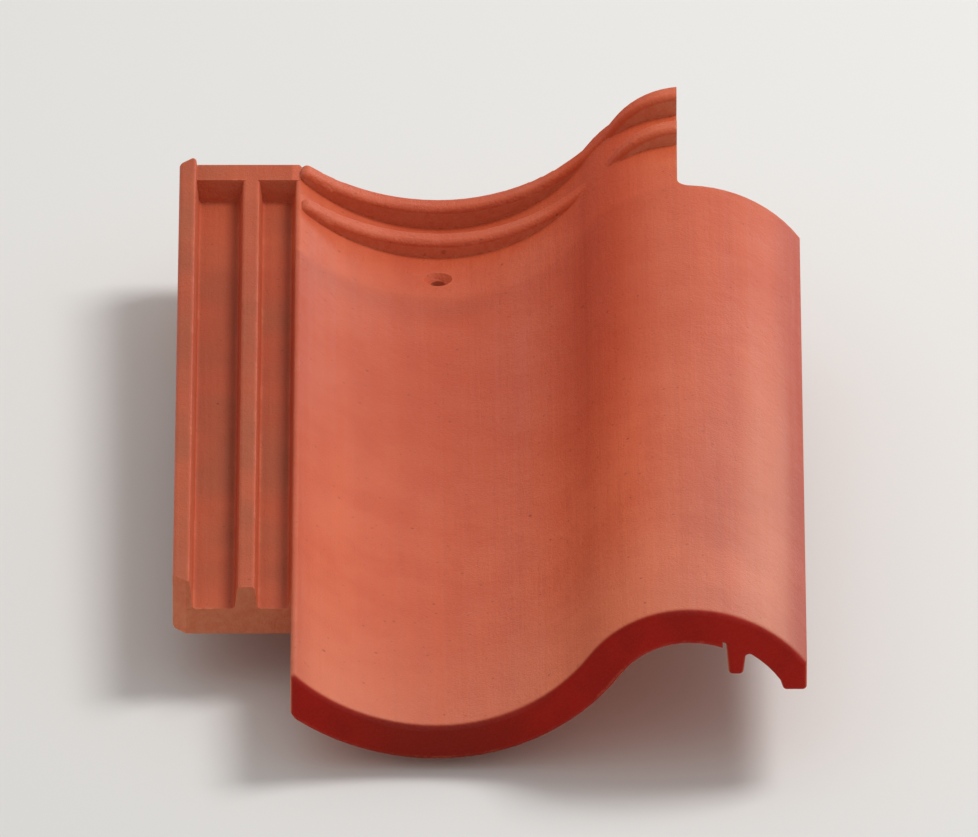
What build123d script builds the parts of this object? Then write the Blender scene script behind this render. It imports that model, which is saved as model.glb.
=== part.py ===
from build123d import *
import os
from math import asin, atan, degrees, sin, sqrt

os.makedirs("parts", exist_ok=True)

# Interlocking clay pantile: one pressed and fired piece, lying on a level floor as it comes to rest.
# Lengths are in mm. While it is drawn, X runs across the tile from the visible left seam, Y runs
# up the slope from the foot edge to the head edge, and Z stands on the plane under the trough.

# Laid size
cover_width = 200.0
cover_length = 340.0
head_lap = 70.0
seam_gap = 1.6

# Wave of the face: a wide trough, then a round roll, joined by tangent arcs
thickness = 13.0
wave_height = 51.0
trough_x = 57.0
crest_to_seam = 46.0
trough_left_radius = 78.0
roll_left_radius = 47.0
roll_right_radius = 55.0

# Underlock on the left: a shelf with two water channels between two ribs
lock_width = 45.0
lock_plate = 11.0
lock_drop = 11.5
lock_rib_width = 6.5
inner_rib_height = 9.5
outer_rib_height = 12.5
water_channel = 13.0
rib_draft = 1.2

# Cover lip on the right: it hooks over the inner rib of the next tile, and its tooth stands in
# the second channel
lip_width = 9.0
lip_reach = 12.0
tooth_width = 5.5
tooth_height = 13.0
tooth_inset = 30.0

# Head lock on top, and the foot hook below that drops into it on the next course
head_rib_width = 9.0
rear_rib_height = 9.0
front_rib_height = 7.0
head_channel = 15.0
head_edge_land = 3.5
hook_depth = 8.0
hook_width = 9.0
foot_rim_depth = 2.0
foot_rim_length = 22.0

# Nibs that hang on the batten, and the nail hole below them
nib_depth = 17.0
nib_tip_length = 12.0
nib_root_length = 20.0
nib_draft = 2.0
nib_from_head = 36.0
trough_nib_width = 38.0
trough_nib_x = 28.5
roll_nib_width = 27.0
roll_nib_x = 99.0
nail_hole_radius = 3.0
nail_sink_radius = 5.5
nail_from_head = 54.0

# Rounding of the pressed edges
section_round = 1.5
rib_round = 2.5
foot_round = 2.5
arris_round = 1.2
arris_bevel = 1.2
nib_root_round = 3.0
corner_round = 5.0
corner_clip = 5.0
cut_from_crest = 3.0

# How near an edge has to lie to the wave to be counted as one of its edges
near_wave = 0.1

# Worked out from the sizes above
length = cover_length + head_lap
crest_x = cover_width - crest_to_seam
crest_z = thickness + wave_height
reach = crest_x - trough_x
trough_right_radius = (reach**2 + wave_height**2) / (2 * wave_height) - roll_left_radius
steepest = asin(reach / (trough_right_radius + roll_left_radius))
left_x = seam_gap / 2
right_x = cover_width - seam_gap / 2
cut_x = crest_x - cut_from_crest
rib_root = 1.0


def wave_pieces(level):
    """Arcs of the wave, level mm above the face: side is 1 in the trough and -1 on the roll."""
    trough_left = (trough_x, thickness + trough_left_radius, trough_left_radius - level)
    trough_right = (trough_x, thickness + trough_right_radius, trough_right_radius - level)
    roll_left = (crest_x, crest_z - roll_left_radius, roll_left_radius + level)
    roll_right = (crest_x, crest_z - roll_right_radius, roll_right_radius + level)
    turn_x = trough_x + (trough_right_radius - level) * sin(steepest)
    yield (*trough_left, 1, -lock_width, trough_x)
    yield (*trough_right, 1, trough_x, turn_x)
    yield (*roll_left, -1, turn_x, crest_x)
    yield (*roll_right, -1, crest_x, cover_width)


def wave_z(x, level=0.0):
    """Height of the wave at x, level mm above the face measured square to it."""
    for centre_x, centre_z, radius, side, first_x, last_x in wave_pieces(level):
        if first_x <= x <= last_x:
            return centre_z - side * sqrt(max(radius**2 - (x - centre_x) ** 2, 0))


def wave_point(x, level, lift=0.0):
    """Point of the wave at x as (X, Z), level mm above the face and lifted by lift."""
    return (x, wave_z(x, level) + lift)


def wave_arcs(level, start_x, end_x, lift=0.0):
    """Adds the arcs of the wave between two x values to the line being drawn, lifted by lift."""
    for centre_x, centre_z, radius, side, first_x, last_x in wave_pieces(level):
        first_x = max(first_x, start_x)
        last_x = min(last_x, end_x)
        if last_x > first_x:
            first_slope = side * degrees(asin((first_x - centre_x) / radius))
            last_slope = side * degrees(asin((last_x - centre_x) / radius))
            centre = (centre_x, centre_z + lift)
            CenterArc(centre, radius, first_slope - 90 * side, last_slope - first_slope)


def across(y):
    """Plane square to the tile at y, drawn as X and Z, that extrudes towards the foot."""
    return Plane(origin=(0, y, 0), x_dir=(1, 0, 0), z_dir=(0, -1, 0))


# Section of the wave, with the cover lip and the tooth under the right half of the roll
lip_z = wave_z(right_x) - lip_reach
lip_left_x = right_x - lip_width
tooth_left_x = right_x - tooth_inset
tooth_right_x = tooth_left_x + tooth_width
tooth_z = wave_z(tooth_left_x, -thickness) - tooth_height
with BuildSketch() as wave_section:
    with BuildLine():
        wave_arcs(0, left_x, right_x)
        Polyline(
            wave_point(right_x, 0),
            (right_x, lip_z),
            (lip_left_x, lip_z),
            wave_point(lip_left_x - rib_draft, -thickness),
        )
        wave_arcs(-thickness, tooth_right_x + rib_draft, lip_left_x - rib_draft)
        Polyline(
            wave_point(tooth_right_x + rib_draft, -thickness),
            (tooth_right_x, tooth_z),
            (tooth_left_x, tooth_z),
            wave_point(tooth_left_x - rib_draft, -thickness),
        )
        wave_arcs(-thickness, left_x, tooth_left_x - rib_draft)
        Line(wave_point(left_x, -thickness), wave_point(left_x, 0))
    make_face()
    fillet(wave_section.vertices().filter_by(lambda v: v.X > tooth_left_x - 2 * rib_draft), section_round)
    fillet(wave_section.vertices().sort_by_distance(wave_point(left_x, 0))[0], section_round)

# Section of the underlock: shelf, inner rib, and the rib on its outer edge
floor_z = wave_z(left_x) - lock_drop
shelf_z = floor_z - lock_plate
wall_top_z = floor_z + lock_drop / 2
inner_right_x = left_x - rib_draft - water_channel
inner_left_x = inner_right_x - lock_rib_width
outer_left_x = -lock_width
outer_right_x = outer_left_x + lock_rib_width
trough_under_z = thickness + trough_left_radius
shelf_end_x = trough_x - sqrt(trough_under_z**2 - (trough_under_z - shelf_z) ** 2)
with BuildSketch() as lock_section:
    with BuildLine():
        Polyline(
            (left_x, wall_top_z),
            (left_x - rib_draft, floor_z),
            (inner_right_x + rib_draft, floor_z),
            (inner_right_x, floor_z + inner_rib_height),
            (inner_left_x, floor_z + inner_rib_height),
            (inner_left_x - rib_draft, floor_z),
            (outer_right_x + rib_draft, floor_z),
            (outer_right_x, floor_z + outer_rib_height),
            (outer_left_x, floor_z + outer_rib_height),
            (outer_left_x, shelf_z),
            (shelf_end_x, shelf_z),
        )
        wave_arcs(-thickness, shelf_end_x, trough_x)
        Line((trough_x, 0), (trough_x, thickness / 2))
        wave_arcs(-thickness / 2, left_x, trough_x)
        Line(wave_point(left_x, -thickness / 2), (left_x, wall_top_z))
    make_face()
    fillet(lock_section.vertices().filter_by(lambda v: v.X < left_x - rib_draft / 2), section_round)
    fillet(lock_section.vertices().sort_by_distance((shelf_end_x, shelf_z))[0], 4 * section_round)

# Body: the full section from the head down to the foot cut-out, the plain wave below that, and
# the rim that thickens the foot edge
rim_level = -thickness - foot_rim_depth
rim_end_x = tooth_left_x - 2 * rib_draft
with BuildPart() as body:
    with BuildSketch(across(length)):
        add(wave_section.sketch)
        add(lock_section.sketch)
    extrude(amount=cover_length)
    with BuildSketch(across(head_lap)):
        add(wave_section.sketch)
    extrude(amount=head_lap)
    with BuildSketch(across(foot_rim_length)):
        with BuildLine():
            wave_arcs(rim_level, left_x, rim_end_x)
            Line(wave_point(rim_end_x, rim_level), wave_point(rim_end_x, -thickness / 2))
            wave_arcs(-thickness / 2, left_x, rim_end_x)
            Line(wave_point(left_x, -thickness / 2), wave_point(left_x, rim_level))
        make_face()
    extrude(amount=foot_rim_length)


def edges_on_wave(edges, level, lift=0.0):
    """Those of the edges whose middle lies on the wave at a level, lifted by lift."""
    found = []
    for edge in edges:
        middle = edge.position_at(0.5)
        if left_x < middle.X < right_x and abs(middle.Z - lift - wave_z(middle.X, level)) < near_wave:
            found.append(edge)
    return found


def cross_rib(y, width, level, lift, start_x, end_x):
    """Rib across the tile from the middle of its wall to the wave at a level, lifted by lift."""
    with BuildPart() as rib:
        with BuildSketch(across(y + width / 2)) as rib_section:
            with BuildLine():
                wave_arcs(level, start_x, end_x, lift)
                Line(wave_point(end_x, level, lift), wave_point(end_x, -thickness / 2))
                wave_arcs(-thickness / 2, start_x, end_x)
                Line(wave_point(start_x, -thickness / 2), wave_point(start_x, level, lift))
            make_face()
            fillet(rib_section.vertices().sort_by_distance(wave_point(start_x, level, lift))[0], rib_round)
        extrude(amount=width)
        crest = edges_on_wave(rib.edges().filter_by(GeomType.CIRCLE), level, lift)
        fillet(crest, rib_round)
    return rib.part


# Head ribs and foot hook. The next course lies step_height above this one, square to the foot
# rim on the steep flanks, so the ribs stand up in the trough and on the roll and die out between
rear_rib_y = length - head_edge_land - head_rib_width / 2
front_rib_y = rear_rib_y - head_rib_width - head_channel
hook_y = head_lap - (length - (rear_rib_y + front_rib_y) / 2)
rib_start_x = left_x + 2 * rib_root
rib_end_x = crest_x + corner_round
hook_end_x = tooth_left_x - 2 * rib_draft
rear_rib = cross_rib(
    rear_rib_y, head_rib_width, -thickness, thickness + rear_rib_height, rib_start_x, rib_end_x
)
front_rib = cross_rib(
    front_rib_y, head_rib_width, -thickness, thickness + front_rib_height, rib_start_x, rib_end_x
)
foot_hook = cross_rib(hook_y, hook_width, 0, -thickness - hook_depth, rib_start_x, hook_end_x)

# Nibs: drawn across the tile up to the middle of its wall, then cut to one tapered side profile
nib_face_y = length - nib_from_head
with BuildPart() as nibs:
    with BuildSketch(across(nib_face_y + nib_root_length)):
        for nib_left_x, nib_width in ((trough_nib_x, trough_nib_width), (roll_nib_x, roll_nib_width)):
            nib_right_x = nib_left_x + nib_width
            with BuildLine():
                Polyline(
                    wave_point(nib_right_x, -thickness / 2),
                    (nib_right_x - nib_draft, -nib_depth),
                    (nib_left_x + nib_draft, -nib_depth),
                    wave_point(nib_left_x, -thickness / 2),
                )
                wave_arcs(-thickness / 2, nib_left_x, nib_right_x)
            make_face()
    extrude(amount=nib_root_length)
    with BuildSketch(Plane.YZ.offset(trough_nib_x)):
        Polygon(
            (nib_face_y, -nib_depth),
            (nib_face_y + nib_tip_length, -nib_depth),
            (nib_face_y + nib_root_length, crest_z),
            (nib_face_y, crest_z),
            align=None,
        )
    extrude(amount=cover_width, mode=Mode.INTERSECT)
    fillet(nibs.edges().group_by(Axis.Z)[0], section_round)


def edges_at(part, y):
    """Edges of a part that lie in the plane square to the tile at y."""
    return part.edges().filter_by_position(Axis.Y, y - 0.01, y + 0.01)


# The whole tile
with BuildPart() as tile:
    add(body.part)
    add(rear_rib)
    add(front_rib)
    add(foot_hook)
    add(nibs.part)

    # Bar that closes the upper ends of the two water channels
    with BuildSketch(Plane.YZ.offset(outer_left_x)):
        Polygon(
            (rear_rib_y - head_rib_width / 2 - rib_draft, floor_z - rib_root),
            (length, floor_z - rib_root),
            (length, floor_z + inner_rib_height),
            (rear_rib_y - head_rib_width / 2, floor_z + inner_rib_height),
            align=None,
        )
    extrude(amount=lock_width + rib_start_x)

    # Corner at the head where the right half of the roll is cut away for the next course, and
    # the clipped corners of the underlock and the head
    with BuildSketch(Plane.XY.offset(-nib_depth)) as corner_cuts:
        Polygon(
            (cut_x, cover_length),
            (cover_width, cover_length),
            (cover_width, length + rib_root),
            (cut_x, length + rib_root),
            align=None,
        )
        fillet(corner_cuts.vertices().sort_by_distance((cut_x, cover_length))[0], corner_round)
        for corner_x, corner_y, inward_x, inward_y in (
            (outer_left_x, head_lap, 1, 1),
            (outer_left_x, length, 1, -1),
            (cut_x, length, -1, -1),
        ):
            Polygon(
                (corner_x - inward_x, corner_y - inward_y),
                (corner_x + inward_x * corner_clip, corner_y - inward_y),
                (corner_x + inward_x * corner_clip, corner_y),
                (corner_x, corner_y + inward_y * corner_clip),
                (corner_x - inward_x, corner_y + inward_y * corner_clip),
                align=None,
            )
    extrude(amount=2 * crest_z, mode=Mode.SUBTRACT)

    # Nail hole through the trough, with a conical sink for the head
    with BuildSketch(Plane((trough_x, length - nail_from_head, thickness), z_dir=(0, 0, -1))):
        Circle(nail_hole_radius)
    extrude(amount=thickness + rib_root, mode=Mode.SUBTRACT)
    with BuildSketch(Plane((trough_x, length - nail_from_head, thickness + rib_root), z_dir=(0, 0, -1))):
        Circle(nail_sink_radius + rib_root)
    extrude(amount=nail_sink_radius + rib_root - nail_hole_radius, taper=45, mode=Mode.SUBTRACT)

    # Round upper arrises at the foot and the head, trimmed lower ones, and the roots of the nibs
    fillet(edges_on_wave(edges_at(tile, 0), 0), foot_round)
    chamfer(edges_on_wave(edges_at(tile, 0), rim_level), arris_bevel)
    fillet(edges_on_wave(edges_at(tile, length), 0), arris_round)
    head_under = edges_on_wave(edges_at(tile, length), -thickness)
    chamfer([edge for edge in head_under if edge.position_at(0.5).X > 2 * shelf_end_x], arris_bevel)
    fillet(edges_on_wave(edges_at(tile, nib_face_y), -thickness), nib_root_round)

# Rest pose: the tile stands on the front edges of both nibs and on the lowest line of the foot hook
nib_contact_y = nib_face_y + section_round
hook_contact_y = hook_y - hook_width / 2 + rib_round
rest_pitch = degrees(atan((nib_depth - hook_depth) / (nib_contact_y - hook_contact_y)))
laid = tile.part.rotate(Axis.X, rest_pitch)
laid_box = laid.bounding_box()
with BuildPart() as roof_tile:
    add(laid.moved(Location((-laid_box.center().X, -laid_box.center().Y, -laid_box.min.Z))))
roof_tile.part.label = "roof_tile"

print(f"rest pitch {rest_pitch:.4f} deg")
print(f"moved by {-laid_box.center().X:.4f} {-laid_box.center().Y:.4f} {-laid_box.min.Z:.4f}")
print(f"volume {roof_tile.part.volume:.0f}, solids {len(roof_tile.part.solids())}, valid {roof_tile.part.is_valid}")
export_step(roof_tile.part, "parts/roof_tile.step")
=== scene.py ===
# %% [markdown]
# # Interlocking clay roof tile
# One pressed and fired pantile lies on a level floor. Its whole form is already right in the CAD
# solid: the wave, the side lock, the head ribs, the foot hook, the nibs and the nail hole. So this
# lesson is about the finish. A fired tile looks alive because nothing on it has one colour: slip
# thins over the arrises, the kiln flashes parts of it mauve, the press draws faint lines along it,
# and rain leaves dust at the foot and dirt just below the head lap.

# %% Load the fixed frame
import math
import bpy
import numpy as np
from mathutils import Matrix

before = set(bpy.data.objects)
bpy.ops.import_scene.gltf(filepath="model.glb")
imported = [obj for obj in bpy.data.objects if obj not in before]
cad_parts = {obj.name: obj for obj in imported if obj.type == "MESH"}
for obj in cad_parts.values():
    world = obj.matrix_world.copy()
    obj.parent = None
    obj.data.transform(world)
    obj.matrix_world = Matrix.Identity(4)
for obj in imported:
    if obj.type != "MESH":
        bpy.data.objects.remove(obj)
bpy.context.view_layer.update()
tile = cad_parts["roof_tile"]

# %% [markdown]
# ## Where things are on the tile
# Every effect below is placed by the tile's own drawing: x across from the left seam, y up the
# slope from the foot edge, z square to the face, all in mm. The tile rests with a slight pitch, so
# the drawing is turned and shifted into the scene. The tile's corners, taken back into the drawing,
# show whether that fits: they run from the underlock at about -45 to the cover lip at about 199.

# %% The drawing's place in the scene, and the lines that the finish follows
mm = 0.001
rest_pitch = math.radians(1.5741)
drawing_origin = (-0.0771, -0.2040610, 0.0066793)
trough_x = 57.0
crest_x = 154.0
lap_line = 340.0


def to_drawing(points):
    """Points of the scene in metres, shifted and then turned back into the drawing, in mm."""
    moved = (points - np.array(drawing_origin)) / mm
    c = math.cos(rest_pitch)
    s = math.sin(rest_pitch)
    return moved @ np.array([[1, 0, 0], [0, c, -s], [0, s, c]])


corners = np.empty(len(tile.data.vertices) * 3)
tile.data.vertices.foreach_get("co", corners)
corners = corners.reshape(-1, 3)
drawn = to_drawing(corners)
print("drawing runs from", drawn.min(0).round(2), "to", drawn.max(0).round(2), "mm")

# %% [markdown]
# ## Small helpers for node trees
# A material is a chain of maths on positions. Writing each node out takes five lines, so a few
# helpers add a node, set what is fixed and link what varies. They return the output socket, so
# one effect can feed the next. Two of them, lay and near, carry most of this finish: a colour laid
# over another by a mask, and a mask that is full near a line.

# %% Node helpers
nodes_in_row = 8
column_width = 220
row_height = 320


class Graph:
    """A node tree that is filled from left to right, one helper call for each node."""

    def __init__(self, tree):
        self.tree = tree
        self.count = 0

    def feed(self, socket, value):
        """Links an output to the socket, or writes a number, a colour or a vector into it."""
        if isinstance(value, bpy.types.NodeSocket):
            self.tree.links.new(value, socket)
        else:
            socket.default_value = value

    def add(self, kind, inputs=None, **settings):
        """Adds a node, sets its properties, and feeds its inputs by name or by number."""
        made = self.tree.nodes.new(kind)
        row, column = divmod(self.count, nodes_in_row)
        made.location = (column * column_width, -row * row_height)
        self.count += 1
        for name, value in settings.items():
            setattr(made, name, value)
        for name, value in (inputs or {}).items():
            self.feed(made.inputs[name], value)
        return made

    def maths(self, operation, *values):
        """Output of a Math node on one, two or three values."""
        return self.add("ShaderNodeMath", dict(enumerate(values)), operation=operation).outputs[0]

    def product(self, *values):
        """All the values multiplied together."""
        total = values[0]
        for value in values[1:]:
            total = self.maths("MULTIPLY", total, value)
        return total

    def ramp(self, value, start, end, low=0.0, high=1.0):
        """Smooth step from low at start to high at end. The start may lie above the end."""
        inputs = {"Value": value, 1: start, 2: end, 3: low, 4: high}
        made = self.add("ShaderNodeMapRange", inputs, interpolation_type="SMOOTHSTEP")
        return made.outputs[0]

    def near(self, value, middle, reach, full=0.0):
        """1 within full of the middle, and smoothly down to 0 at reach from it."""
        away = self.maths("ABSOLUTE", self.maths("SUBTRACT", value, middle))
        return self.ramp(away, reach, full)

    def at_least(self, mask, least):
        """The mask, squeezed from 0 to 1 into least to 1."""
        return self.maths("MULTIPLY_ADD", mask, 1.0 - least, least)

    def tint(self, amount, below, above):
        """Colour below with the colour above laid over it by amount."""
        factor, first, second, blended = 0, 6, 7, 2
        inputs = {factor: amount, first: below, second: above}
        return self.add("ShaderNodeMix", inputs, data_type="RGBA").outputs[blended]

    def lay(self, below, above, mask, share):
        """Colour below with share of the colour above where the mask is 1."""
        return self.tint(self.maths("MULTIPLY", mask, share), below, above)

    def coats(self, below, rows):
        """Colour below with each row (mask, share, colour above) laid over it in turn."""
        for mask, share, above in rows:
            below = self.lay(below, above, mask, share)
        return below

    def add_up(self, start, rows):
        """The start plus, for each row (mask, amount), the mask times its amount."""
        for mask, amount in rows:
            start = self.maths("MULTIPLY_ADD", mask, amount, start)
        return start

    def group(self, source, inputs):
        """Places the node group that the source Graph fills, and returns its outputs."""
        return self.add("ShaderNodeGroup", inputs, node_tree=source.tree).outputs


def new_group(name, inputs, outputs):
    """Node group with named inputs (name: start value) and named outputs, one number each.

    A start value of None makes a vector input. Returns the group's Graph.
    """
    tree = bpy.data.node_groups.new(name, "ShaderNodeTree")
    for socket_name, value in inputs.items():
        kind = "NodeSocketVector" if value is None else "NodeSocketFloat"
        socket = tree.interface.new_socket(socket_name, in_out="INPUT", socket_type=kind)
        if value is not None:
            socket.default_value = value
    for socket_name in outputs:
        tree.interface.new_socket(socket_name, in_out="OUTPUT", socket_type="NodeSocketFloat")
    graph = Graph(tree)
    graph.given = graph.add("NodeGroupInput").outputs
    graph.results = graph.add("NodeGroupOutput").inputs
    return graph


print("node helpers:", [name for name in vars(Graph) if not name.startswith("_")])

# %% [markdown]
# ## Noise and scattered spots
# Sand, lines and patches are all made of noise, and iron spots and pits are scattered dots. Noise
# is built on a lattice, and lined up with the tile it looks like woven cloth, so for sand and
# patches the position is turned first. Dots come from a Voronoi Texture, in which each cell has a
# random colour. Only the cells whose red is high are kept, so that no lattice shows, and the green
# sets a dot's size. A noise pushes the rims in and out, because a round dot looks drawn.

# %% Helpers for noise and for scattered spots
off_axis = (0.61, 0.43, 0.87)
noise_middle = 0.5
noise_span = (0.3, 0.7)


def turned_off_axis(graph):
    """The group's position, turned so that no noise lattice lines up with the tile."""
    turn = {"Vector": graph.given["Position"], "Rotation": off_axis}
    return graph.add("ShaderNodeVectorRotate", turn, rotation_type="EULER_XYZ").outputs[0]


def noise(graph, where, scale, detail, roughness=0.5):
    """Noise Texture: octaves of soft noise around 0.5. The scale is one over a blotch's size."""
    inputs = {"Vector": where, "Scale": scale, "Detail": detail, "Roughness": roughness}
    return graph.add("ShaderNodeTexNoise", inputs).outputs["Fac"]


def scattered(graph, where, spacing, radius, share, ragged):
    """Ragged spots in Voronoi cells, 1 inside and 0 outside, in a share of the cells.

    The radius is a part of the spacing. A cell's green makes its spot 0.5 to 1.5 times as large,
    and the ragged value, which lies around 0.5, pushes the rim in and out.
    """
    smallest = 0.5 * radius
    push = 1.2 * radius
    core = 0.4
    sure_share = 0.6 * share
    inputs = {"Vector": where, "Scale": graph.maths("DIVIDE", 1.0, spacing)}
    cells = graph.add("ShaderNodeTexVoronoi", inputs).outputs
    picked = graph.add("ShaderNodeSeparateColor", {"Color": cells["Color"]}).outputs
    rim = graph.maths("MULTIPLY_ADD", picked["Green"], radius, smallest)
    pushed = graph.maths("MULTIPLY_ADD", ragged, push, cells["Distance"])
    pushed = graph.maths("SUBTRACT", pushed, push * noise_middle)
    inside = graph.ramp(pushed, graph.maths("MULTIPLY", rim, core), rim, 1.0, 0.0)
    kept = graph.ramp(picked["Red"], 1.0 - share, 1.0 - sure_share)
    return graph.maths("MULTIPLY", inside, kept)


print("noise lattices are turned by", [round(math.degrees(angle)) for angle in off_axis], "degrees")

# %% [markdown]
# ## Group: clay grain
# Fired clay is full of fine sand. Seen close it has a speckle of about a millimetre, small dark
# spots where iron melted out, and here and there a pit where a grain fell out. An image would
# repeat or blur, so procedural textures make it, from the two helpers above. It is a node group,
# because the fine slip and the coarse clay both use it, each with its own sizes.

# %% Grain, spots and pits
grain = new_group(
    "clay grain",
    {"Position": None, "Size": 1.0, "Spot spacing": 4.0, "Pit spacing": 9.0},
    ("Speckle", "Spots", "Pits"),
)
askew = turned_off_axis(grain)
grain_scale = grain.maths("DIVIDE", 1.0, grain.given["Size"])
ragged = noise(grain, askew, grain_scale, detail=3.0, roughness=0.62)
grain.feed(grain.results["Speckle"], grain.ramp(ragged, *noise_span))
spots = scattered(grain, askew, grain.given["Spot spacing"], radius=0.16, share=0.45, ragged=ragged)
grain.feed(grain.results["Spots"], spots)
pits = scattered(grain, askew, grain.given["Pit spacing"], radius=0.06, share=0.5, ragged=ragged)
grain.feed(grain.results["Pits"], pits)
print("group", grain.tree.name, "has", len(grain.tree.nodes), "nodes")

# %% [markdown]
# ## Group: drawn lines
# The press and the drying rack leave faint lines that run up the slope. Stretching a noise does
# it: the position is divided by a small width across and by a long length along the tile. Each
# line is also shifted along by a part of its place across, so that their ends don't make rows.

# %% Lines along the tile
shift_for_each_width = 0.6
streaks = new_group("drawn lines", {"Position": None, "Width": 4.0, "Length": 160.0}, ("Lines",))
axes = streaks.add("ShaderNodeSeparateXYZ", {"Vector": streaks.given["Position"]}).outputs
widths_across = streaks.maths("DIVIDE", axes["X"], streaks.given["Width"])
lengths_along = streaks.maths("DIVIDE", axes["Y"], streaks.given["Length"])
stretched = {
    "X": widths_across,
    "Y": streaks.maths("MULTIPLY_ADD", widths_across, shift_for_each_width, lengths_along),
    "Z": streaks.maths("DIVIDE", axes["Z"], streaks.given["Width"]),
}
stretched = streaks.add("ShaderNodeCombineXYZ", stretched).outputs[0]
lines = noise(streaks, stretched, scale=1.0, detail=3.0, roughness=0.55)
streaks.feed(streaks.results["Lines"], streaks.ramp(lines, *noise_span))
print("group", streaks.tree.name, "has", len(streaks.tree.nodes), "nodes")

# %% [markdown]
# ## Group: soft patches
# Slip is poured, and it never lies evenly. Broad, soft patches shift the colour by a little. A
# painted mask would do, but one low noise with few octaves is lighter and never repeats.

# %% Soft patches
patch_span = (0.33, 0.67)
patches = new_group("soft patches", {"Position": None, "Size": 60.0}, ("Patches",))
patch_scale = patches.maths("DIVIDE", 1.0, patches.given["Size"])
blotch = noise(patches, turned_off_axis(patches), patch_scale, detail=2.0)
patches.feed(patches.results["Patches"], patches.ramp(blotch, *patch_span))
print("group", patches.tree.name, "has", len(patches.tree.nodes), "nodes")

# %% [markdown]
# ## Group: ragged band
# Some effects start at a line on the drawing, such as the lap line or the seam. A hard line looks
# printed, so this group steps from 0 to 1 across a line that a noise pushes to and fro.

# %% Ragged band
band = new_group(
    "ragged band",
    {"Position": None, "Along": 0.0, "Line": 0.0, "Softness": 4.0, "Wander": 2.0, "Size": 14.0},
    ("Mask",),
)
band_scale = band.maths("DIVIDE", 1.0, band.given["Size"])
wander = noise(band, band.given["Position"], band_scale, detail=3.0)
wander = band.maths("SUBTRACT", wander, noise_middle)
pushed = band.maths("MULTIPLY_ADD", wander, band.given["Wander"], band.given["Along"])
from_line = band.maths("SUBTRACT", pushed, band.given["Line"])
half = band.maths("MULTIPLY", band.given["Softness"], 0.5)
band.feed(band.results["Mask"], band.ramp(from_line, band.maths("MULTIPLY", half, -1.0), half))
print("group", band.tree.name, "has", len(band.tree.nodes), "nodes")

# %% [markdown]
# ## The finish of the tile
# The tile is coated with a red slip that fires to a satin skin, and its underside is bare clay.
# One material holds both, because on the real piece the slip simply thins out round the edges.
# Colours are laid over each other from the clay up, each by a mask, and the same masks drive
# roughness and bump, so that what looks worn also reflects as worn. The colours are written as on
# a colour chart, from 0 to 255, and turned into the linear values that a shader works with.

# %% Colours of the clay, the slip and the dirt


def linear(red, green, blue):
    """Linear colour, with an alpha of 1, of an sRGB colour in 0 to 255, by the sRGB curve."""
    srgb = np.array([red, green, blue]) / 255
    curved = ((srgb + 0.055) / 1.055) ** 2.4
    return (*np.where(srgb > 0.04045, curved, srgb / 12.92).tolist(), 1.0)


slip_red = linear(194, 80, 44)
slip_orange = linear(208, 93, 53)
slip_pale = linear(220, 113, 72)
slip_deep = linear(172, 58, 28)
# Strong red used as painted shade on the left flank of the roll.
flank_shade_red = linear(197, 60, 17)
slip_dusty = linear(216, 132, 100)
flash_mauve = linear(160, 86, 74)
# Pale colour of a painted sheen along the lip.
lip_sheen_pale = linear(228, 164, 134)
# The three reds of the foot edge are painted shade, since that edge faces away from the light.
foot_shade_red = linear(166, 19, 6)
foot_shade_deep = linear(144, 12, 4)
butt_shade = linear(126, 24, 7)
dirt_olive = linear(112, 50, 20)
iron_brown = linear(118, 44, 26)
silt = linear(122, 84, 60)
bare_clay = linear(204, 112, 78)
bare_pale = linear(220, 140, 104)
worn_clay = linear(220, 128, 94)
print("slip runs from", np.round(slip_deep[:3], 3), "to", np.round(slip_pale[:3], 3))

# %% [markdown]
# ## The material and its coordinates
# A pattern has to stay on the tile in every view, so it reads Object coordinates, never the
# camera's. A Mapping node of type Texture undoes the place and pitch of the drawing, which keeps
# every mask below in the numbers that a tile maker would use. The normal says which way a spot
# faces, and that tells the slipped face, the bare underside and the foot edge from each other.

# %% A material that knows the drawing
clay = bpy.data.materials.new("slipped fired clay")
clay.use_nodes = True
clay.node_tree.nodes.clear()
g = Graph(clay.node_tree)
undo_rest = {
    "Vector": g.add("ShaderNodeTexCoord").outputs["Object"],
    "Location": drawing_origin,
    "Rotation": (rest_pitch, 0.0, 0.0),
    "Scale": (mm, mm, mm),
}
position = g.add("ShaderNodeMapping", undo_rest, vector_type="TEXTURE").outputs[0]
place = g.add("ShaderNodeSeparateXYZ", {"Vector": position}).outputs
x = place["X"]
y = place["Y"]
facing = g.add("ShaderNodeNewGeometry").outputs["Normal"]
facing_axes = g.add("ShaderNodeSeparateXYZ", {"Vector": facing}).outputs
print("material", clay.name, "starts with", len(clay.node_tree.nodes), "nodes")

# %% [markdown]
# ## The patterns at their sizes
# Sand shows in two sizes, fine in the slip and coarse in the bare clay. Lines come narrow and
# broad, and patches large and small. Two sizes of each, laid over each other, are what keeps a
# procedural surface from looking like one repeated texture. All sizes are in mm.

# %% Grain, lines and patches at their sizes
fine = g.group(grain, {"Position": position, "Size": 0.9, "Spot spacing": 3.6})
coarse_sizes = {"Size": 2.6, "Spot spacing": 6.5, "Pit spacing": 12.0}
coarse = g.group(grain, {"Position": position, **coarse_sizes})
fine_lines = g.group(streaks, {"Position": position, "Width": 3.0, "Length": 180.0})["Lines"]
broad_lines = g.group(streaks, {"Position": position, "Width": 13.0, "Length": 260.0})["Lines"]
cloud = g.group(patches, {"Position": position, "Size": 55.0})["Patches"]
cloud_small = g.group(patches, {"Position": position, "Size": 18.0})["Patches"]
print("patterns placed:", len([n for n in clay.node_tree.nodes if n.type == "GROUP"]), "groups")

# %% [markdown]
# ## The zones of a tile
# A tile has zones that weather in their own ways. The slip covers what faces up. The lap, above
# the lap line, is covered once the tile is laid, so it stays clean. The side lock lies left of the
# seam. The foot edge is the narrow end that faces down the slope. Each zone is a mask from the
# drawing or from the normal, and the lap and the seam have ragged edges.

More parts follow.
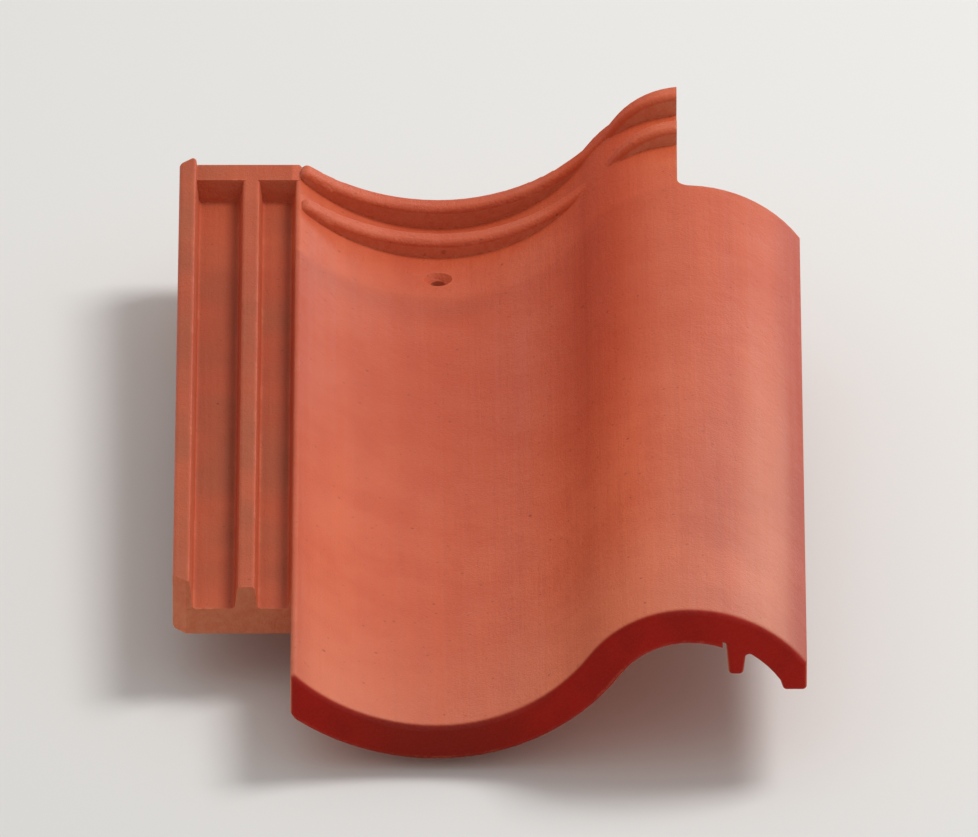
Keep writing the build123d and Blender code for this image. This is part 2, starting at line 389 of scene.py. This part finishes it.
# %% Zones by place and by facing
slip_by_facing = (-0.1, 0.25)
foot_by_facing = (-0.25, -0.7)
foot_depth = (3.2, 0.4)
upward = g.ramp(facing_axes["Z"], *slip_by_facing)
lap_edge = {"Line": lap_line, "Softness": 7.0, "Wander": 9.0, "Size": 25.0}
lapped = g.group(band, {"Position": position, "Along": y, **lap_edge})["Mask"]
seam_edge = {"Line": -0.5, "Softness": 1.5, "Wander": 1.0, "Size": 9.0}
on_face = g.group(band, {"Position": position, "Along": x, **seam_edge})["Mask"]
in_lock = g.maths("SUBTRACT", 1.0, on_face)
foot_face = g.product(g.ramp(y, *foot_depth), g.ramp(facing_axes["Y"], *foot_by_facing))
print("zones ready:", len(clay.node_tree.nodes), "nodes")

# %% [markdown]
# ## Colour of the slip
# Under even light a slipped tile still has streaks of two reds, pale lines where the press
# dragged, clouds where the slip lay thick or thin, and sand that shows through. Each is one row
# of a list: its mask, how much of it shows, and its colour. Dust splashes up onto the foot, more
# in the trough than on the roll, and fades out within a hand's width. In every pair of places from
# here on, in mm on the drawing, an effect starts at the first and is full at the second.

# %% Colour of the slip
slip_layers = (
    (broad_lines, 0.90, slip_red),
    (fine_lines, 0.24, slip_pale),
    (cloud, 0.35, slip_red),
    (cloud_small, 0.28, slip_pale),
    (fine["Speckle"], 0.24, slip_pale),
)
slip = g.coats(slip_orange, slip_layers)

dust_fades = (105.0, 4.0)
roll_to_trough = (160.0, 130.0)
dust_on_roll = 0.24
dust_in_trough = 0.36
dust_share = g.ramp(x, *roll_to_trough, dust_on_roll, dust_in_trough)
slip = g.tint(g.product(g.ramp(y, *dust_fades), dust_share), slip, slip_dusty)
print("slip has", len(slip_layers), "layers and dust at the foot")

# %% [markdown]
# ## Painted shade across the wave
# The trough is painted darker: painted shade, where rolls on both sides would keep light out. The
# steep flank of the roll faces away from the light, and its strong red is painted shade too, more
# so up the slope. Each is the product of two ramps, one that comes in from the left and one that
# goes out to the right, because the wave has no sharp borders.

# %% Painted shade in the trough and on the flank
trough_from_seam = (10.0, 62.0)
trough_from_flank = (112.0, 78.0)
# Painted shade in the trough, where neighbouring rolls would keep light out.
trough_shade_mask = g.product(g.ramp(x, *trough_from_seam), g.ramp(x, *trough_from_flank))
slip = g.lay(slip, slip_deep, trough_shade_mask, share=0.32)

# Painted shade on the left flank of the roll, stronger up the slope.
flank_from_trough = (88.0, 119.0)
flank_from_crest = (150.0, 122.0)
shaded = g.product(g.ramp(x, *flank_from_trough), g.ramp(x, *flank_from_crest))
flank_shade_grows = (60.0, 260.0)
flank_shade_at_foot = 0.12
flank_shade_at_head = 0.60
flank_shade_share = g.ramp(y, *flank_shade_grows, flank_shade_at_foot, flank_shade_at_head)
slip = g.tint(g.product(shaded, flank_shade_share), slip, flank_shade_red)
print("flank is washed from x", flank_from_trough[0], "to", flank_from_crest[0], "mm")

# %% [markdown]
# ## Shade beside the seams, and darker up the slope
# Along the lip on the right, up to the lap line, a darker strip is painted shade, as a next tile
# would shade it there. Beside the seam on the left the same strip is painted shade with some dirt.
# Up the slope the whole face gets darker, less so under the lap. Both are one deep red, laid by
# place.

# %% Painted shade beside the seams, and darker up the slope
towards_seam = (10.0, 2.0)
towards_lip = (184.0, 198.0)
seam_shade_and_dirt_share = 0.40
lip_shade_share = 0.76
# Painted shade along the lip, and painted shade with some dirt beside the seam.
lip_shade_mask = g.product(g.ramp(x, *towards_lip), lip_shade_share)
seam_shade_and_dirt = g.add_up(lip_shade_mask, ((g.ramp(x, *towards_seam), seam_shade_and_dirt_share),))
exposed = g.maths("SUBTRACT", 1.0, g.product(lapped, on_face))
slip = g.tint(g.product(seam_shade_and_dirt, exposed), slip, slip_deep)

slope_darkens = (120.0, 270.0)
less_under_lap = -0.6
# Darker up the slope, less so under the lap.
darkening_weight = g.maths("MULTIPLY_ADD", lapped, less_under_lap, 1.0)
slip = g.lay(slip, slip_deep, g.product(g.ramp(y, *slope_darkens), darkening_weight), share=0.38)
print("face darkens from", slope_darkens[0], "to", slope_darkens[1], "mm up the slope")

# %% [markdown]
# ## Tide line and iron spots
# Drips dry just below the lap line and leave a band of olive dirt on the left of the trough. It is
# gritty, because dust sticks to the sand, so the speckle and the patches break it up. The iron
# spots are laid last, since they show through all that lies on the clay.

# %% Tide line and iron spots
tide_line = 332.0
tide_reach = 17.0
tide_from_seam = (0.0, 12.0)
tide_from_flank = (104.0, 36.0)
tide = g.product(
    g.near(y, tide_line, tide_reach),
    g.ramp(x, *tide_from_seam),
    g.ramp(x, *tide_from_flank),
    g.at_least(fine["Speckle"], 0.5),
    g.at_least(cloud, 0.4),
)
slip = g.lay(slip, dirt_olive, tide, share=0.4)
slip = g.lay(slip, iron_brown, fine["Spots"], share=0.5)
print("tide line at", tide_line, "mm, under the lap line at", lap_line, "mm")

# %% [markdown]
# ## Kiln flash, and painted sheen along the lip
# Where flames licked the tile, the iron in its slip turned mauve. Here that is the right side of
# the roll, most of all near the foot. Along the lip runs a pale strip of painted sheen, where the
# satin skin would catch the light. Both fade up the slope, and the patches break up the flash,
# because a flame never stands still.

# %% Kiln flash on the right of the roll, and painted sheen along the lip
roll_right = (crest_x - 26.0, crest_x + 14.0)
flash_fades = (330.0, 60.0)
flash = g.product(g.ramp(x, *roll_right), g.ramp(y, *flash_fades), g.at_least(cloud, 0.5))
slip = g.lay(slip, flash_mauve, flash, share=0.45)

# Painted sheen along the lip, strongest near the foot.
sheen_from_roll = (168.0, 183.0)
sheen_from_lip = (197.0, 189.0)
sheen_fades = (290.0, 110.0)
lip_sheen_mask = g.product(g.ramp(x, *sheen_from_roll), g.ramp(x, *sheen_from_lip))
slip = g.lay(slip, lip_sheen_pale, g.product(lip_sheen_mask, g.ramp(y, *sheen_fades)), share=0.20)
print("flash starts at x", roll_right[0], "and is full at", roll_right[1], "mm")

# %% [markdown]
# ## Foot edge, in painted shade
# The foot edge is the tile's thickness on show. It faces away from the light, and its deep red is
# painted shade, darkest at the bottom of the trough. Its mask comes from the normal, so the colour
# stops right at the rounded arris.

# %% Foot edge
deep_least = 0.1
deep_more = 0.6
# Painted shade on the foot edge, darker again at the bottom of the trough.
foot_shade_colour = g.tint(g.maths("MULTIPLY_ADD", cloud_small, deep_more, deep_least), foot_shade_red, foot_shade_deep)
at_trough_bottom = g.near(x, trough_x, reach=52.0, full=8.0)
foot_shade_colour = g.lay(foot_shade_colour, butt_shade, at_trough_bottom, share=0.8)
foot_shade_colour = g.lay(foot_shade_colour, slip_deep, fine["Speckle"], share=0.12)
print("foot edge is darkest at x", trough_x, "mm")

# %% [markdown]
# ## Bare clay, and silt in the channels
# The underside has no slip: it is pale and sandy, with a breath of red where slip ran round. Here
# the three colours meet: clay where a face looks down, slip where it looks up, and the dark red of
# painted shade on the foot edge. Rain carries silt into the water channels of the side lock, and it
# settles only where they are level, which the normal shows.

# %% Bare clay below, and silt in the channels
bare_layers = (
    (coarse["Speckle"], 0.5, bare_pale),
    (cloud, 0.3, slip_red),
    (broad_lines, 0.2, bare_pale),
    (coarse["Spots"], 0.4, iron_brown),
)
bare = g.coats(bare_clay, bare_layers)
colour = g.tint(upward, bare, slip)
# Lays the painted shade of the foot edge over the face.
colour = g.tint(foot_face, colour, foot_shade_colour)

level_by_facing = (0.7, 0.95)
silt_share = 0.45
silted = g.product(in_lock, g.ramp(facing_axes["Z"], *level_by_facing), silt_share)
colour = g.tint(g.product(silted, g.at_least(cloud, 0.4)), colour, silt)
print("bare clay has", len(bare_layers), "layers")

# %% [markdown]
# ## Worn arrises
# Handling rubs the slip off the sharp corners, and small chips show the pale clay. A Bevel node
# gives the normal of a softly rounded corner, and where that turns away from the true normal there
# is an edge. Their dot product falls from 1 as they part. Coarse sand and patches then decide where
# an edge is only rubbed and where it is chipped. The foot itself is mostly spared, where the thick
# slip runs round the arris.

# %% Worn arrises, chips and pits
bevel_radius = 1.6 * mm
edge_by_turn = (0.985, 0.93)
foot_arris = (1.0, 6.0)
foot_edge_share = 0.35
rounded = g.add("ShaderNodeBevel", {"Radius": bevel_radius}, samples=4).outputs[0]
turned = g.add("ShaderNodeVectorMath", {0: rounded, 1: facing}, operation="DOT_PRODUCT")
edge = g.ramp(turned.outputs["Value"], *edge_by_turn)
edge = g.product(edge, g.ramp(y, *foot_arris, foot_edge_share, 1.0))

rub_least = 0.2
rub_more = 0.6
rubbed = g.product(edge, g.maths("MULTIPLY_ADD", coarse["Speckle"], rub_more, rub_least))
colour = g.lay(colour, worn_clay, rubbed, share=0.5)

sand_share = 0.5
chips_by_break = (1.05, 1.2)
broken = g.maths("MULTIPLY_ADD", coarse["Speckle"], sand_share, cloud_small)
chipped = g.product(edge, g.ramp(broken, *chips_by_break))
colour = g.lay(colour, worn_clay, chipped, share=0.8)
colour = g.lay(colour, iron_brown, coarse["Pits"], share=0.5)
print("edges are found within", round(bevel_radius / mm, 1), "mm of a corner")

# %% [markdown]
# ## Roughness and relief
# The slip is satin and the bare clay is matt. The flank of the roll, the foot edge, the silt and
# the worn spots scatter more light. The relief is small, a few tenths of a mm of sand, lines and
# unevenness, so it is bump: as geometry it would need millions of faces. Each row below is a mask
# and what it adds, first to the roughness and then to the height in mm. Only the pits go down.

# %% Roughness and relief
bare_roughness = 0.86
slip_roughness = 0.48
rougher = (
    (fine_lines, 0.07),
    (cloud, 0.06),
    (shaded, 0.3),
    (foot_face, 0.3),
    (silted, 0.5),
    (g.maths("MAXIMUM", rubbed, chipped), 0.25),
)
rough = g.add_up(g.ramp(upward, 0.0, 1.0, bare_roughness, slip_roughness), rougher)

heights = (
    (fine["Speckle"], 0.13),
    (coarse["Speckle"], 0.10),
    (fine_lines, 0.10),
    (cloud_small, 0.30),
    (coarse["Pits"], -0.35),
)
relief = g.add_up(0.0, heights)
bump = g.add("ShaderNodeBump", {"Height": relief, "Distance": mm, "Strength": 0.8}).outputs[0]
print("relief goes up", round(sum(h for _, h in heights if h > 0), 2), "mm at most")

# %% [markdown]
# ## The shader, and the tile's slots
# One Principled BSDF takes the colour, the roughness and the bump. Index of refraction and
# specular level are the same all over, so they are set on the shader itself. The CAD piece keeps
# its mesh, and the material goes into every slot that it has.

# %% Shader and slots
surface = g.add(
    "ShaderNodeBsdfPrincipled",
    {
        "Base Color": colour,
        "Roughness": rough,
        "Normal": bump,
        "IOR": 1.5,
        "Specular IOR Level": 0.34,
    },
)
g.add("ShaderNodeOutputMaterial", {"Surface": surface.outputs[0]})
for slot in tile.material_slots:
    slot.material = clay
print("finish has", len(clay.node_tree.nodes), "nodes, in", len(tile.material_slots), "slots")

# %% [markdown]
# ## Floor
# The floor is a plain pale sheet, wide enough that its edge never shows. It is a stage piece, so
# it isn't part of the tile. Seen from below it is clear, by the Backfacing output, so that the
# underside of the tile can be looked at.

# %% Floor
floor_side = 40.0
floor_points = 3


def plane_grid(width, depth, columns, rows):
    """Flat grid: point (u, v) is at ((u - 0.5) width, (v - 0.5) depth, 0), u and v from 0 to 1."""
    u, v = np.meshgrid(np.linspace(0, 1, columns), np.linspace(0, 1, rows))
    points = np.stack([(u - 0.5) * width, (v - 0.5) * depth, 0 * u], axis=-1).reshape(-1, 3)
    index = np.arange(columns * rows).reshape(rows, columns)
    faces = np.stack([index[:-1, :-1], index[:-1, 1:], index[1:, 1:], index[1:, :-1]], axis=-1)
    return points, faces.reshape(-1, 4)


points, faces = plane_grid(floor_side, floor_side, floor_points, floor_points)
mesh = bpy.data.meshes.new("floor")
mesh.from_pydata(points.tolist(), [], faces.tolist())
floor = bpy.data.objects.new("floor", mesh)
bpy.context.scene.collection.objects.link(floor)
pale = bpy.data.materials.new("pale floor")
pale.use_nodes = True
pale.node_tree.nodes.clear()
f = Graph(pale.node_tree)
sheet = f.add(
    "ShaderNodeBsdfPrincipled",
    {"Base Color": (0.80, 0.79, 0.77, 1.0), "Roughness": 0.9, "Specular IOR Level": 0.1},
)
from_below = f.add("ShaderNodeNewGeometry").outputs["Backfacing"]
nothing = f.add("ShaderNodeBsdfTransparent")
one_sided = {0: from_below, 1: sheet.outputs[0], 2: nothing.outputs[0]}
one_sided = f.add("ShaderNodeMixShader", one_sided).outputs[0]
f.add("ShaderNodeOutputMaterial", {"Surface": one_sided})
floor.data.materials.append(pale)
print("floor is", floor.dimensions[:2], "m")

# %% [markdown]
# ## Light
# The light comes from the upper right: the slopes that face right are bright, and the flank of the
# roll that faces left is in shade. A large soft lamp stands there. A second one, low behind the
# head, gives the satin streak along the roll.

# %% Lamps


def soft_lamp(name, direction, distance, size, power):
    """Square area lamp that looks at the tile from a direction given as (right, back, up)."""
    data = bpy.data.lights.new(name, "AREA")
    data.shape = "SQUARE"
    data.size = size
    data.energy = power
    lamp = bpy.data.objects.new(name, data)
    way = np.array(direction) / np.linalg.norm(direction)
    lamp.location = (way * distance).tolist()
    lamp.rotation_euler = (-lamp.location).to_track_quat("-Z", "Y").to_euler()
    lamp.visible_camera = False
    bpy.context.scene.collection.objects.link(lamp)


soft_lamp("key from upper right", direction=(0.55, 0.30, 1.0), distance=2.4, size=0.9, power=32.0)
soft_lamp("low light behind", direction=(0.42, 0.90, 0.13), distance=2.4, size=0.5, power=4.5)

# %% [markdown]
# ## World
# The world fills the shadows evenly, at half strength. The camera and reflections see it at full
# strength, by the Light Path outputs, so that the background is white and gloss shows it so. The
# Standard view shows each colour about as it is written.

# %% World and view
sky_colour = (1.0, 0.99, 0.975, 1.0)
fill_strength = 0.5
seen_strength = 1.0
world = bpy.data.worlds.new("even sky")
bpy.context.scene.world = world
world.use_nodes = True
world.node_tree.nodes.clear()
w = Graph(world.node_tree)
path = w.add("ShaderNodeLightPath").outputs
seen = w.maths("ADD", path["Is Camera Ray"], path["Is Glossy Ray"])
seen = w.maths("MINIMUM", w.maths("ADD", seen, path["Is Transmission Ray"]), 1.0)
strength = w.ramp(seen, 0.0, 1.0, fill_strength, seen_strength)
sky = w.add("ShaderNodeBackground", {"Color": sky_colour, "Strength": strength})
w.add("ShaderNodeOutputWorld", {"Surface": sky.outputs[0]})
bpy.context.scene.view_settings.view_transform = "Standard"
print("world lights at", fill_strength, "and is seen at", seen_strength)

# %% [markdown]
# ## Camera
# The tile is looked at from its foot, straight up the slope, from far away with a long lens, so
# that it hardly narrows towards its head. The tile's own corners are projected along the view, and
# the camera is set so that the tile fills four fifths of the frame.

# %% Camera
view_elevation = math.radians(27.5)
lens = 1200.0
sensor = 36.0
frame_size = (978, 837)
fill = 0.80
back = np.array([0.0, -math.cos(view_elevation), math.sin(view_elevation)])
right = np.array([1.0, 0.0, 0.0])
up = np.cross(back, right)
wide = corners @ right
high = corners @ up
middle = right * (wide.min() + wide.max()) / 2 + up * (high.min() + high.max()) / 2
middle = middle + back * (corners @ back).mean()
per_pixel = max(np.ptp(wide) / frame_size[0], np.ptp(high) / frame_size[1]) / fill
distance = per_pixel * frame_size[0] * lens / sensor
camera_data = bpy.data.cameras.new("camera")
camera_data.lens = lens
camera_data.sensor_width = sensor
camera_data.clip_end = 100.0
camera = bpy.data.objects.new("camera", camera_data)
camera.location = (middle + back * distance).tolist()
camera.rotation_euler = (math.pi / 2 - view_elevation, 0.0, 0.0)
bpy.context.scene.collection.objects.link(camera)
bpy.context.scene.camera = camera
print("camera is", round(distance, 2), "m away, one pixel is", round(per_pixel / mm, 3), "mm")

# %% [markdown]
# ## Finish
# The finish must not change the size of the tile. The scene is brought up to date at the end.

# %% Finish
bpy.context.view_layer.update()
